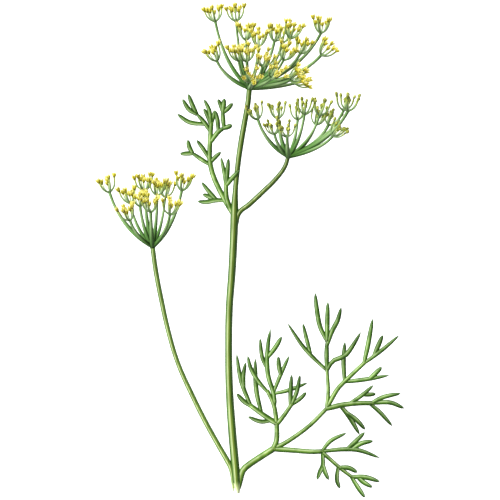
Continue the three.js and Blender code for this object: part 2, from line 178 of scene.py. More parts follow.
# Main stem and stalks: plan place, height of the middle, and width
MAIN_STEM = [
    (1.7, -3.4, 2.4, 1.4),
    (1.1, -1.6, 2.4, 3.4),
    (0.4, 1.5, 2.4, 4.6),
    (0, 7.5, 2.4, 5),
    (-1, 19, 2.4, 5.1),
    (-2.5, 36, 2.5, 5),
    (-4, 60, 3.2, 4.6),
    (-4.4, 85, 4.6, 4.4),
    (-4, 108, 6.2, 4.5),
    (-2.4, 130, 8, 4.7),
    (-1.3, 152, 9.8, 4.9),
    (-0.9, 164, 10.8, 5.1),
    (-0.8, 168, 11.2, 4.6),
    (-0.3, 179, 12.4, 3.2),
    (1.2, 194, 14.2, 3.4),
    (3, 207, 15.8, 3.6),
    (5.2, 219.5, 17.4, 3.5),
    (7.2, 231, 18.9, 3.4),
    (8, 239.4, 20, 3.3),
]

# The slanted cut through the foot of the stem: a point on it, and its way out
CUT_PLACE = (0.35, 0.5, 4.8)
CUT_FACES = Vector((-0.85, -0.31, 0.45))

LEFT_STALK = [
    (-1.6, -2.2, 2.2, 0.8),
    (-2, 2.5, 2.3, 1.7),
    (-2.4, 8, 2.3, 2.5),
    (-3.3, 12.5, 2.4, 3.3),
    (-5.4, 16.5, 2.5, 3.4),
    (-10.3, 25, 3, 3.2),
    (-17.9, 38.7, 4, 3.2),
    (-26.5, 56, 5.4, 3.1),
    (-34.9, 75, 7, 2.9),
    (-40.5, 93.7, 8.6, 3),
    (-44.8, 113, 10.3, 3.1),
    (-48.1, 130.4, 11.8, 3.1),
    (-50, 144.4, 13, 3),
]

RIGHT_STALK = [
    (0.3, 154, 9.8, 1.2),
    (0.6, 159, 10.5, 2.2),
    (1.9, 165, 11.2, 3.1),
    (7.8, 170, 12, 3.3),
    (16, 177.6, 13.2, 3.2),
    (23.9, 185.4, 14.5, 3),
    (29.4, 192.9, 15.5, 2.8),
    (31.2, 198.4, 16, 2.6),
]

# Umbels: hub, and for each ray its tip, the size of its umbellet, and how far that is turned towards +Y
TOP_UMBEL = {
    "name": "top_umbel",
    "seed": 1000,
    "pale": 0.1,
    "hub": (8, 239.6, 20),
    "rays": [
        (-12.5, 280, 7, 1),
        (0, 280, 15, 0.95),
        (6, 268.5, 25, 0.95),
        (13.5, 264.5, 34, 1),
        (23, 268, 18, 0.95),
        (28, 267.5, 6, 0.9),
        (32.5, 269.5, 27, 1),
        (38.5, 260.5, 16, 0.95, 0.5),
        (51, 273, 9, 1, 0.9),
        (51, 259.5, 24, 1),
        (-11.5, 256, 21, 0.95),
        (1.5, 256, 29, 0.9),
        (6.5, 255.5, 39, 0.95),
        (16, 252.5, 41, 0.95),
        (28.5, 256.5, 31, 1),
        (9.5, 243.5, 42, 0.9),
        (21.5, 245.5, 37, 0.95),
        (32.5, 244.5, 30, 1),
        (35.5, 243, 8, 0.9),
    ],
    "inner_turns": (0, 2, 3),
}

LEFT_UMBEL = {
    "name": "left_umbel",
    "seed": 2000,
    "pale": 0.6,
    "hub": (-50, 144.6, 13),
    "rays": [
        (-76, 177.5, 9, 1),
        (-63.5, 171, 6, 0.95),
        (-63.5, 160.5, 24, 0.95),
        (-57.5, 169, 18, 0.9),
        (-55, 178.5, 10, 1),
        (-51, 165.5, 30, 0.95),
        (-47, 175.5, 22, 1),
        (-42.5, 174.5, 6, 0.95),
        (-32.5, 178.5, 14, 1),
        (-39.5, 164, 27, 0.95),
    ],
    "inner_turns": (0, 2, 3),
}

RIGHT_UMBEL = {
    "name": "right_umbel",
    "seed": 3000,
    "pale": 0.85,
    "hub": (31.3, 198.6, 16),
    "rays": [
        (13, 221, 30, 0.95),
        (25, 221.5, 18, 0.9),
        (23, 212, 31, 0.85),
        (30.5, 210.5, 34, 0.85),
        (37, 221, 7, 0.9),
        (41, 224, 25, 0.9),
        (48, 218, 10, 0.9),
        (50, 223.5, 22, 0.95, 0.4),
        (55.5, 218, 6, 0.95),
        (64.5, 226.5, 17, 1, 0.8),
        (67, 226, 27, 1, 0.6),
        (58, 211, 24, 0.9),
    ],
    "inner_turns": (0, 2),
}


# Leaves: petioles are of order 0, ribs of order 1 and lobes of order 2
def petiole(lift, *path):
    """A strand through plan points, which ends at its lift above the leaf's own surface"""
    return {"wide": PETIOLE_WIDE, "thick": PETIOLE_THICK, "lift": lift, "path": path, "order": 0}


def rib(lift, *path):
    return {"wide": RIB_WIDE, "thick": RIB_THICK, "lift": lift, "path": path, "order": 1}


def slim_rib(lift, *path):
    return {**rib(lift, *path), "wide": SLIM_RIB_WIDE}


def lobe(lift, *path):
    return {"wide": LOBE_WIDE, "thick": LOBE_THICK, "lift": lift, "path": path, "order": 2}


LOWER_LEAF = [
    petiole(0, (1.9, -1), (2.4, 4), (3.2, 8), (5.3, 11.8), (12.5, 17), (22.5, 23.4)),
    # First branch, towards the top
    rib(0, (22.5, 23.4), (24.4, 29), (24.5, 39)),
    rib(0.6, (24.5, 38), (28.5, 43), (33.4, 50)),
    lobe(1.5, (32.6, 49), (32.8, 58), (33.4, 68)),
    lobe(2.5, (33.4, 50), (36.6, 58), (38.5, 68)),
    lobe(0.5, (32.8, 49.4), (38.7, 53.7), (42.2, 57.4)),
    rib(0.8, (24.5, 38.5), (22.8, 49.4), (19, 58)),
    lobe(1, (19.4, 57), (13, 64.6), (8.8, 72), (7, 79.6)),
    lobe(4, (23, 48), (23, 55.3), (19.6, 66), (18.6, 76), (19.4, 87.4), (20.8, 95.7)),
    lobe(2, (18.6, 71.5), (15.6, 79), (14.4, 90)),
    lobe(5, (18.8, 78), (23.8, 84.6), (27.5, 91)),
    lobe(2.5, (22.4, 57), (27, 68.4), (32, 79.4)),
    lobe(5, (26.8, 68), (25.8, 73), (25.4, 79)),
    lobe(-2.5, (22.8, 56.6), (29.6, 58), (35.5, 60), (43, 63)),
    rib(0.2, (24.4, 38.4), (16.4, 43.8), (8.7, 49.4)),
    lobe(0.4, (9.4, 48.8), (4.6, 52), (0.4, 56.6)),
    lobe(0, (9, 49.2), (5, 58.5), (2.3, 67.6), (0.4, 80.6)),
    lobe(2, (4.8, 59.4), (4.4, 67), (5.8, 75.4)),
    lobe(-2, (15.4, 44.6), (12.6, 56), (11.7, 66), (11.6, 77.8)),
    lobe(-1, (21.6, 40.4), (14.6, 39.8), (7.1, 42.7)),
    # Second branch, the longest
    slim_rib(0.4, (22, 23.2), (31, 27.8), (43.8, 37), (54.6, 47.7)),
    slim_rib(1, (54.4, 47.4), (55.4, 58), (54.6, 71.2)),
    lobe(1.2, (54.6, 70.6), (54.4, 80), (54.6, 89)),
    lobe(1.2, (54.6, 88), (50.4, 97), (48.4, 108), (47.5, 117.2)),
    lobe(2.4, (54.6, 88), (54.8, 100), (55.1, 111.8)),
    lobe(0.4, (54.5, 85), (57.6, 94), (61, 100.6), (63.2, 108.6)),
    lobe(2.2, (54.6, 70.4), (46, 78.6), (39.4, 86), (30.7, 99.2)),
    lobe(0.6, (45, 79.6), (42.6, 88.5), (40.1, 98.9)),
    lobe(3.2, (54.6, 70), (58, 76), (65.4, 79.4), (70.2, 85.6), (75, 93.7)),
    rib(0.6, (54.6, 48), (60.5, 58.6), (66, 64.6), (77.2, 75.2)),
    lobe(1.4, (76.6, 74.6), (83, 79.2), (89.9, 84.6), (98, 91.7)),
    lobe(2, (76.8, 74.8), (79.4, 86.7), (82, 101.7)),
    lobe(0, (82.6, 79), (85.4, 85.4), (88.1, 91.7)),
    lobe(-2.5, (65.2, 63.8), (64.6, 76), (65.4, 87.7)),
    lobe(0.4, (65.2, 63.6), (72.3, 64.4), (81, 65.6), (92.1, 67.6)),
    lobe(1.6, (80, 65.4), (84, 69), (87.5, 72.6)),
    rib(0.4, (54.4, 47.4), (64, 49.8), (74, 50.8), (82, 50.8)),
    lobe(1.2, (81, 50.8), (88.9, 54.6), (99, 56.7)),
    lobe(0.2, (81.4, 50.8), (92.4, 51.2), (101.2, 47.6)),
    lobe(-0.6, (80, 50.8), (86.6, 45.2), (94, 36.9)),
    lobe(1.4, (67.8, 50.4), (75.4, 55.4), (82.5, 61.6)),
    lobe(0.4, (76, 55.8), (80, 56), (84, 56.4)),
    lobe(-1.6, (62.6, 49.4), (68, 42.6), (74.3, 31.8)),
    lobe(-0.4, (66, 45.6), (72.5, 40.6), (77.7, 34.8)),
    # Third branch, along the ground
    rib(-0.5, (22, 23.2), (32, 22.6), (44.7, 21.6), (52, 21.8)),
    lobe(0.8, (51.4, 21.6), (57, 28.2), (66.4, 32.9)),
    lobe(0, (51, 21.7), (64, 23), (74.2, 22.4), (86.6, 17.8)),
    lobe(1, (66.6, 23.1), (72.2, 28.2), (77.4, 33.4)),
    lobe(0.2, (69.6, 23), (75.4, 26.6), (82.5, 28.1)),
    slim_rib(-0.5, (51.4, 21.6), (57.4, 16.3), (63.6, 10.9), (70.2, 6)),
    lobe(-0.4, (69.4, 6.5), (78, 6.2), (86.4, 3.6)),
    lobe(-0.2, (73, 6.4), (76.4, 3.4), (82, 0.1)),
    lobe(-0.2, (69, 6.8), (73.6, -0.4), (77.5, -6)),
    lobe(0.8, (62, 12.2), (67.9, 11.8), (73, 9.1)),
    lobe(0, (61.4, 12.8), (60.6, 5), (62.4, -0.6)),
    lobe(-0.3, (51.8, 21.8), (52.2, 13.9), (50.4, 9.6), (48.6, 4.6)),
    lobe(0.3, (52.2, 14.4), (53.4, 9.6), (55.7, 4.6)),
]

UPPER_LEAF = [
    rib(0, (-0.8, 163), (-3.4, 167.4), (-8, 175.2), (-13.4, 186.6), (-15.7, 196), (-15.7, 206), (-14.9, 219)),
    rib(5.5, (-3, 166.6), (-5.6, 174), (-6, 182)),
    lobe(7, (-6, 180.6), (-7, 189), (-9, 198.4)),
    lobe(9, (-5.9, 180), (-5.2, 189), (-4.4, 197.9)),
    lobe(11.5, (-6, 181), (-2.6, 185.6), (2.5, 191)),
    lobe(1.5, (-6.6, 172.6), (-12.6, 172.6), (-18, 171.6), (-23.2, 172)),
    lobe(-0.5, (-10.4, 172.6), (-15.2, 174.4), (-20, 176.4)),
    lobe(2.5, (-11.4, 172.8), (-15.8, 177.4), (-20.7, 183.6)),
    lobe(0.4, (-15.6, 194), (-21, 197.4), (-27, 201.6)),
    lobe(0.5, (-25.6, 200.8), (-29, 200.8), (-33.7, 200.5)),
    lobe(1.6, (-26, 201), (-28, 204.6), (-29, 209)),
    lobe(0.6, (-15.7, 197), (-19.6, 203.4), (-23.7, 209)),
    lobe(1.4, (-15.6, 195), (-12.4, 198.6), (-9, 201.7)),
    lobe(0.5, (-15.2, 213.6), (-19, 219.4), (-24, 225)),
    lobe(0.2, (-23.4, 224.2), (-26.4, 230.4), (-28.7, 236.6)),
    lobe(1.4, (-23.4, 224.2), (-28.4, 227.4), (-32.2, 233.6)),
    lobe(0.8, (-18.4, 218.4), (-28, 219.6), (-35.4, 224.6)),
    lobe(0.3, (-15, 217.6), (-16.6, 222.4), (-19.5, 228)),
    lobe(1.8, (-15, 217), (-15.9, 226), (-19.2, 233.4)),
    lobe(0.1, (-14.9, 218), (-13.6, 223), (-12.5, 226.9)),
    lobe(3.6, (-15.6, 207), (-10.8, 213.6), (-6.8, 216.2)),
    lobe(4.4, (-7.6, 215.8), (-4.6, 216.8), (-2.3, 218)),
    lobe(5.4, (-10.6, 213.8), (-11, 220), (-12.2, 226.4)),
    lobe(4.6, (-7.2, 216), (-7.8, 222), (-8, 226.4)),
    lobe(4.8, (-8, 225.4), (-9, 229.4), (-10.9, 233.4)),
    lobe(5.6, (-8, 225.4), (-7.4, 230), (-7, 233.8)),
    lobe(4.6, (-7.9, 225), (-4.6, 228), (-1.9, 231)),
]


def lower_leaf_height(x, y):
    """The lower leaf climbs gently towards its top lobes"""
    return LOWER_LEAF_FLOOR + LOWER_LEAF_CLIMB * max(0, y - LOWER_LEAF_FLAT_TO)


def upper_leaf_height(x, y):
    """The upper leaf starts at the stem's node and droops towards the surface"""
    away = min(1, math.hypot(x + 2, y - 165) / UPPER_LEAF_REACH)
    return UPPER_LEAF_FLOOR + UPPER_LEAF_RISE * (1 - away) ** 2


LOWER_FROND = {
    "name": "lower_frond",
    "stands_for": "lower_leaf",
    "strands": LOWER_LEAF,
    "height_at": lower_leaf_height,
    "root_height": 2.2,
    "seed": 500,
    "palest": 0.9,
}

UPPER_FROND = {
    "name": "upper_frond",
    "stands_for": "upper_leaf",
    "strands": UPPER_LEAF,
    "height_at": upper_leaf_height,
    "root_height": 11,
    "seed": 700,
    "palest": 0.5,
}


def draw(seed):
    """A repeatable draw between 0 and 1, the same that placed the solids"""
    value = math.sin(seed * 12.9898) * 43758.5453
    return value - math.floor(value)


def mix(a, b, share):
    return a + (b - a) * share


def place(point):
    """A point in millimetres from the foot, as a place in the frame in metres"""
    return (Vector(point[:3]) - CENTRE) * MM


# Hand tools


def choose(*objects):
    """Selects only these objects and makes the first one active"""
    bpy.ops.object.select_all(action="DESELECT")
    for one in objects:
        one.select_set(True)
    bpy.context.view_layer.objects.active = objects[0]


def edit(obj, pick, step, kind="VERT"):
    """Picks parts of a mesh in code, then does one step on them in edit mode"""
    choose(obj)
    bpy.ops.object.mode_set(mode="EDIT")
    bpy.ops.mesh.select_mode(type=kind)
    bpy.ops.mesh.select_all(action="DESELECT")
    bpy.ops.object.mode_set(mode="OBJECT")
    parts = {"VERT": obj.data.vertices, "EDGE": obj.data.edges, "FACE": obj.data.polygons}[kind]
    for part in parts:
        part.select = pick(part)
    bpy.ops.object.mode_set(mode="EDIT")
    step()
    bpy.ops.object.mode_set(mode="OBJECT")


def settle(obj):
    """Puts an object's place into its mesh"""
    choose(obj)
    bpy.ops.object.transform_apply(location=True, rotation=True, scale=True)
    return obj


def mark(obj, name, value_at):
    """Keeps a number at each vertex, for the finishes to read"""
    layer = obj.data.attributes.get(name) or obj.data.attributes.new(name, "FLOAT", "POINT")
    for vertex, item in zip(obj.data.vertices, layer.data):
        item.value = value_at(vertex.co)


def copy_of(model, matrix):
    """A copy with its own mesh, set in place by a matrix"""
    made = bpy.data.objects.new(model.name, model.data.copy())
    bpy.context.scene.collection.objects.link(made)
    made.data.transform(matrix)
    return made


def part_ball(segments, rings, radius, squeeze, centre):
    """A ball, squeezed and then set in place"""
    bpy.ops.object.select_all(action="DESELECT")
    bpy.ops.mesh.primitive_uv_sphere_add(segments=segments, ring_count=rings, radius=radius)
    ball = settle(bpy.context.object)
    ball.data.transform(Matrix.Translation(centre) @ Matrix.Diagonal((*squeeze, 1)))
    return ball


def join(name, objects):
    """Joins objects into one named piece, laid on the surface where it would sink into it"""
    choose(*objects)
    if len(objects) > 1:
        bpy.ops.object.join()
    piece = bpy.context.object
    piece.name = name
    piece.data.name = name
    for vertex in piece.data.vertices:
        vertex.co.z = max(0, vertex.co.z)
    bpy.ops.object.shade_smooth()
    return piece


def remove(*objects):
    for one in objects:
        bpy.data.objects.remove(one)


# Models that are made once, one metre long up Z and one metre in radius, and then drawn out


def long_edge(rod):
    """Picks the edges of a rod that run along it"""
    points = rod.data.vertices
    return lambda edge: abs(points[edge.vertices[0]].co.z - points[edge.vertices[1]].co.z) > 0.1


def rod_model(name, sides, loops):
    bpy.ops.mesh.primitive_cylinder_add(vertices=sides, radius=1, depth=1, location=(0, 0, 0.5))
    rod = settle(bpy.context.object)
    rod.name = name
    edit(rod, long_edge(rod), lambda: bpy.ops.mesh.subdivide(number_cuts=loops - 1), "EDGE")
    mark(rod, "along", lambda co: co.z)
    return rod


def ribbed_model(name, ribs, loops, depth):
    """A rod with ribs, as a dill stem has: every other line of points is drawn in to a furrow"""
    rod = rod_model(name, 2 * ribs, loops)

    def turn(co):
        return round(math.atan2(co.y, co.x) / math.pi * ribs) % 2

    mark(rod, "crest", lambda co: 1 - turn(co))
    # side runs across the rod, for the finish's painted highlight band and painted shaded side
    mark(rod, "side", lambda co: (1 - co.x) / 2)
    furrow = (1 - depth, 1 - depth, 1)
    edit(rod, lambda vertex: turn(vertex.co) == 1, lambda: bpy.ops.transform.resize(value=furrow))
    return rod


def strand_model(name, flatness, groove):
    """A flattened leaf strand with a groove along its top"""
    rod = rod_model(name, sides=16, loops=12)
    # side runs across the strand, for the finish's painted highlight on one side and painted shade on the
    # other
    mark(rod, "side", lambda co: (1 - co.x) / 2)
    edit(rod, lambda vertex: True, lambda: bpy.ops.transform.resize(value=(1, flatness, 1)))
    edit(
        rod,
        lambda vertex: abs(vertex.co.x) < GROOVE_HALF_WIDE and vertex.co.y > 0,
        lambda: bpy.ops.transform.translate(value=(0, -groove, 0)),
    )
    return rod


def drawn_out(model, places, widths, twist="MINIMUM"):
    """A copy of a model, drawn out along a smooth guide and swelled to widths in millimetres along it"""
    bpy.ops.object.select_all(action="DESELECT")
    bpy.ops.curve.primitive_bezier_curve_add(location=(0, 0, 0))
    guide = bpy.context.object
    guide.data.twist_mode = twist
    guide.data.use_radius = True
    guide.data.use_stretch = True
    guide.data.use_deform_bounds = True
    line = guide.data.splines[0]
    line.bezier_points.add(len(places) - 2)
    for knot, where, wide in zip(line.bezier_points, places, widths):
        knot.co = where
        knot.handle_left_type = "AUTO"
        knot.handle_right_type = "AUTO"
        knot.radius = wide * MM / 2
    shoot = copy_of(model, Matrix.Identity(4))
    bend = shoot.modifiers.new("bend", "CURVE")
    bend.object = guide
    bend.deform_axis = "POS_Z"
    choose(shoot)
    bpy.ops.object.modifier_apply(modifier=bend.name)
    remove(guide)
    return shoot


def spot(points, share):
    """The place at a share of the way along a smooth line through the points"""
    last = len(points) - 1
    i = min(int(share * last), last - 1)
    t = share * last - i
    here = points[i]
    there = points[i + 1]
    before = points[i - 1] if i else 2 * here - there
    after = points[i + 2] if i + 2 <= last else 2 * there - here
    level = 2 * here + t * (there - before)
    bend = t**2 * (2 * before - 5 * here + 4 * there - after)
    turn = t**3 * (3 * here - before - 3 * there + after)
    return (level + bend + turn) / 2


def arch(start, knee, end, share):
    """The place at a share of the way along an arch that leaves start towards knee and comes down to end"""
    return start.lerp(knee, share).lerp(knee.lerp(end, share), share)


# Finishes


def colour(code):
    """A colour as it looks on paper, as the shader's own numbers"""
    parts = [int(code[i : i + 2], 16) / 255 for i in (0, 2, 4)]
    return (*[part / 12.92 if part < 0.04045 else ((part + 0.055) / 1.055) ** 2.4 for part in parts], 1)


def node(tree, kind, settings=(), **inputs):
    """A shader node, with its settings made and its inputs set or linked"""
    made = tree.nodes.new("ShaderNode" + kind)
    for name, value in dict(settings).items():
        setattr(made, name, value)
    for name, value in inputs.items():
        socket = made.inputs[name.replace("_", " ")]
        if isinstance(value, bpy.types.NodeSocket):
            tree.links.new(value, socket)
        else:
            socket.default_value = value
    return made


def kept(tree, name):
    """The number that was kept at the points under this name"""
    return node(tree, "Attribute", {"attribute_name": name}).outputs["Fac"]


def ramp(tree, factor, *stops):
    """Colours along a factor from 0 to 1"""
    made = node(tree, "ValToRGB", Fac=factor)
    elements = made.color_ramp.elements
    for element, (position, code) in zip(elements, (stops[0], stops[-1])):
        element.position = position
        element.color = colour(code)
    for position, code in stops[1:-1]:
        elements.new(position).color = colour(code)
    return made.outputs["Color"]


def shades(tree, factor, low, high, start=0, end=1):
    """A number from low to high as a factor goes from start to end, to shade or blend with"""
    limits = {"From_Min": start, "From_Max": end, "To_Min": low, "To_Max": high}
    return node(tree, "MapRange", Value=factor, **limits).outputs["Result"]


def blended(tree, factor, first, second, way="MIX"):
    made = node(tree, "MixRGB", {"blend_type": way}, Fac=factor, Color1=first, Color2=second)
    return made.outputs["Color"]


def grain(tree, per_metre, stretch=(1, 1, 1), detail=3):
    """Cloudy noise fixed to the piece, so many times to the metre"""
    coords = node(tree, "TexCoord").outputs["Object"]
    mapped = node(tree, "Mapping", Vector=coords, Scale=stretch).outputs["Vector"]
    return node(tree, "TexNoise", Vector=mapped, Scale=per_metre, Detail=detail).outputs["Fac"]


def finish(name, paint, roughness, fineness, depth, stretch=(1, 1, 1), soft=0, gloss=0.2):
    """A material: paint gives its colour, and a grain, so fine and so many metres deep, its relief"""
    made = bpy.data.materials.new(name)
    made.use_nodes = True
    tree = made.node_tree
    shader = tree.nodes["Principled BSDF"]
    shader.inputs["Roughness"].default_value = roughness
    shader.inputs["Specular IOR Level"].default_value = gloss
    shader.inputs["Subsurface Weight"].default_value = soft
    shader.inputs["Subsurface Radius"].default_value = (0.0008, 0.001, 0.0003)
    tree.links.new(paint(tree), shader.inputs["Base Color"])
    bump = node(tree, "Bump", Height=grain(tree, fineness, stretch), Distance=depth, Strength=1)
    tree.links.new(bump.outputs["Normal"], shader.inputs["Normal"])
    return made


def stem_paint(tree):
    # Across the stem by side: a dark edge, a pale painted highlight band left of the middle, then olive and
    # darker painted shade across the rest
    left = ((0, "3c6428"), (0.14, "4c7030"), (0.22, "93a86c"), (0.31, "cbd4ae"))
    right = ((0.4, "9caa6c"), (0.5, "7c8c3a"), (0.68, "54752a"), (0.85, "446a20"), (1, "507636"))
    painted_light_bands = ramp(tree, kept(tree, "side"), *left, *right)
    ribs = ramp(tree, kept(tree, "crest"), (0, "7f935c"), (0.5, "cfd8ba"), (1, "ffffff"))
    # For the palest pieces the darker painted shade is lifted towards a mid green
    painted_shade_lift = shades(tree, kept(tree, "shade"), 0, 0.8, start=0.7)
    softened = blended(tree, painted_shade_lift, painted_light_bands, colour("64863e"), "LIGHTEN")
    ribbed = blended(tree, 0.6, softened, ribs, "MULTIPLY")
    streaks = ramp(tree, grain(tree, 900, (1, 0.06, 1)), (0.35, "96a878"), (0.65, "ffffff"))
    streaked = blended(tree, 0.6, ribbed, streaks, "MULTIPLY")
    each = node(tree, "HueSaturation", Color=streaked, Value=shades(tree, kept(tree, "shade"), 0.65, 1.25))
    height = ramp(tree, kept(tree, "along"), (0, "ffffff"), (0.5, "f0f0f0"), (1, "d2d6d2"))
    older = blended(tree, 1, each.outputs["Color"], height, "MULTIPLY")
    foot = ramp(tree, kept(tree, "along"), (0, "e9efc4"), (0.012, "b9c888"), (0.03, "000000"))
    return blended(tree, 0.75, older, foot, "SCREEN")


def leaf_paint(tree):
    # Across each strand by side: a dark edge and a pale painted highlight on one side, then darker painted
    # shade towards the other; ribs are yellower
    lobe_highlight_side = ((0, "2b5014"), (0.18, "527a2e"), (0.33, "a4b98a"))
    lobe_shade_side = ((0.46, "6f9448"), (0.64, "3f6622"), (1, "1f3c0e"))
    rib_highlight_side = ((0, "3c6418"), (0.16, "668a36"), (0.32, "bac79a"))
    rib_shade_side = ((0.46, "8aa44c"), (0.65, "4f7224"), (1, "365616"))
    lobes = ramp(tree, kept(tree, "side"), *lobe_highlight_side, *lobe_shade_side)
    ribs = ramp(tree, kept(tree, "side"), *rib_highlight_side, *rib_shade_side)
    banded = blended(tree, kept(tree, "main"), lobes, ribs)
    tips = ramp(tree, kept(tree, "along"), (0.5, "ffffff"), (1, "6f9a72"))
    aged = blended(tree, 0.75, banded, tips, "MULTIPLY")
    patches = ramp(tree, grain(tree, 180), (0.38, "6f9650"), (0.6, "ffffff"))
    mottled = blended(tree, 0.55, aged, patches, "MULTIPLY")
    each = node(tree, "HueSaturation", Color=mottled, Value=shades(tree, kept(tree, "shade"), 0.72, 1.1))
    return each.outputs["Color"]


def ray_paint(tree):
    along = ramp(tree, kept(tree, "along"), (0, "2e5018"), (0.35, "50743c"), (0.7, "7c9666"), (1, "5c7c48"))
    ribs = ramp(tree, kept(tree, "crest"), (0, "5f8440"), (1, "ffffff"))
    ribbed = blended(tree, 0.7, along, ribs, "MULTIPLY")
    each = node(tree, "HueSaturation", Color=ribbed, Value=shades(tree, kept(tree, "shade"), 0.68, 1.12))
    return each.outputs["Color"]


def pedicel_paint(tree):
    along = ramp(tree, kept(tree, "along"), (0, "466234"), (0.6, "667d4e"), (0.85, "78873e"), (1, "808632"))
    paler = shades(tree, kept(tree, "shade"), 0.85, 1.9)
    greyer = shades(tree, kept(tree, "shade"), 1.05, 0.65)
    each = node(tree, "HueSaturation", Color=along, Value=paler, Saturation=greyer)
    return each.outputs["Color"]


def petal_paint(tree):
    # The dark olive middle of each petal is painted shade, as inside a goblet; the pale yellow edges and tip
    # are the petal's own colour
    across = ramp(tree, kept(tree, "crest"), (0, "554d04"), (0.35, "948a12"), (0.65, "d2c83a"), (1, "e8e066"))
    reached = shades(tree, kept(tree, "along"), 0, 1, start=0.55, end=0.95)
    tipped = blended(tree, reached, across, colour("eae486"))
    patches = ramp(tree, grain(tree, 700), (0.35, "d9d27a"), (0.55, "ffffff"))
    mottled = blended(tree, 0.6, tipped, patches, "MULTIPLY")
    each = node(tree, "HueSaturation", Color=mottled, Value=shades(tree, kept(tree, "shade"), 0.75, 1.02))
    return each.outputs["Color"]


def heart_paint(tree):
    along = ramp(tree, kept(tree, "along"), (0, "5f7424"), (0.35, "6c6a12"), (0.7, "85801a"), (1, "aaa42e"))
    patches = ramp(tree, grain(tree, 900), (0.4, "a07a20"), (0.6, "ffffff"))
    return blended(tree, 0.6, along, patches, "MULTIPLY")


def stamen_paint(tree):
    return ramp(tree, kept(tree, "along"), (0, "e8e4a0"), (0.7, "e6de78"), (1, "e0cc50"))


def bud_paint(tree):
    along = ramp(tree, kept(tree, "along"), (0, "5c7e30"), (0.35, "808f38"), (0.7, "9ca248"), (1, "b0ae58"))
    patches = ramp(tree, grain(tree, 600), (0.42, "727a2a"), (0.62, "ffffff"))
    mottled = blended(tree, 0.75, along, patches, "MULTIPLY")
    each = node(tree, "HueSaturation", Color=mottled, Value=shades(tree, kept(tree, "shade"), 0.82, 1.15))
    return each.outputs["Color"]


def pith_paint(tree):
    return ramp(tree, grain(tree, 1800), (0.3, "b4c585"), (0.7, "dde6bd"))


def floor_paint(tree):
    return ramp(tree, grain(tree, 6), (0.3, "fbfbfb"), (0.7, "ffffff"))


STEM_SKIN = finish("stem_skin", stem_paint, roughness=0.38, fineness=2600, depth=0.00006, stretch=(1, 0.1, 1))
LEAF_SKIN = finish("leaf_skin", leaf_paint, roughness=0.42, fineness=3200, depth=0.00005)
RAY_SKIN = finish("ray_skin", ray_paint, roughness=0.65, fineness=3000, depth=0.00005, gloss=0.08)
PEDICEL_SKIN = finish("pedicel_skin", pedicel_paint, roughness=0.45, fineness=3600, depth=0.00004)
PETAL_SKIN = finish("petal_skin", petal_paint, roughness=0.5, fineness=5200, depth=0.00005, soft=0.15)
HEART_SKIN = finish("heart_skin", heart_paint, roughness=0.45, fineness=5600, depth=0.00005)
STAMEN_SKIN = finish("stamen_skin", stamen_paint, roughness=0.5, fineness=7000, depth=0.00003)
BUD_SKIN = finish("bud_skin", bud_paint, roughness=0.42, fineness=4200, depth=0.00005)
PITH = finish("pith", pith_paint, roughness=0.6, fineness=4000, depth=0.0001)
FLOOR = finish("floor", floor_paint, roughness=0.9, fineness=200, depth=0.00002)


def dress(piece, skin, slot, *nodes):
    """Gives a piece its finish and its place among the bodies, and hides the solids that it stands for"""
    piece.data.materials.clear()
    piece.data.materials.append(skin)
    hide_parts(*nodes)
    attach(piece, "root")


# Stems and stalks


def stem_shoot(model, points, share=1):
    places = [place(point) for point in points]
    return drawn_out(model, places, [share * point[3] for point in points], "Z_UP")


def stem_piece(name, shoot, stands_for, shade):
    mark(shoot, "shade", lambda co: shade)
    piece = join(name, [shoot])
    dress(piece, STEM_SKIN, "stem", stands_for)


def cut_off(shoot, proud):
    """Cuts the foot off with one slanted stroke, and closes it"""
    outward = CUT_FACES.normalized()

    def stroke():
        bpy.ops.mesh.select_all(action="SELECT")
        where = place(CUT_PLACE) + proud * MM * outward
        bpy.ops.mesh.bisect(plane_co=where, plane_no=outward, use_fill=True, clear_outer=True)

    edit(shoot, lambda vertex: True, stroke)


def pith_piece(model):
    """The pale pith, which stands a little proud of the slanted cut and is sunk in its middle"""
    pith = stem_shoot(model, MAIN_STEM[:PITH_POINTS], PITH_SHARE)
    cut_off(pith, PITH_PROUD)
    outward = CUT_FACES.normalized()
    middle = place(CUT_PLACE) + PITH_PROUD * MM * outward

    def on_cut(face):
        past = (face.center - middle).dot(outward)
        return face.normal.dot(outward) > 0.99 and abs(past) < PITH_NEAR * MM

    edit(pith, on_cut, lambda: bpy.ops.mesh.inset(thickness=PITH_RIM * MM, depth=-PITH_SINK * MM), "FACE")
    piece = join("cut_pith", [pith])
    dress(piece, PITH, "pith", "main_stem")


# Leaves


def strand_share(order, share):
    """How wide a strand is at a share of its length: lobes swell, and then narrow to a point"""
    if order == 0:
        return min(1, PETIOLE_FOOT + PETIOLE_FLARE * share)
    if order == 1:
        return RIB_FOOT if share == 0 else 1 - RIB_TAPER * share
    swelling = mix(LOBE_FOOT, 1, math.sin(math.pi / 2 * min(1, share / LOBE_FULL_AT)))
    return swelling * math.sqrt(LOBE_END - share**LOBE_POINT)


def leaf_routes(leaf):
    """Each strand's points in space: it starts at the height of the strand that it grows from"""
    height_at = leaf["height_at"]
    grown = []
    routes = []
    for strand in leaf["strands"]:
        path = strand["path"]
        root_lift = leaf["root_height"] - height_at(*path[0])
        if grown:
            root = Vector(path[0])
            root_lift = min(grown, key=lambda known: (known[0] - root).length)[1]
        points = []
        for i, (x, y) in enumerate(path):
            height = height_at(x, y) + mix(root_lift, strand["lift"], i / (len(path) - 1))
            points.append(Vector((x, y, max(LOWEST_SHARE * strand["thick"], height))))
        routes.append(points)
        for i in range(ROUTE_STEPS + 1):
            reached = spot(points, i / ROUTE_STEPS)
            grown.append((reached.to_2d(), reached.z - height_at(reached.x, reached.y)))
    return routes


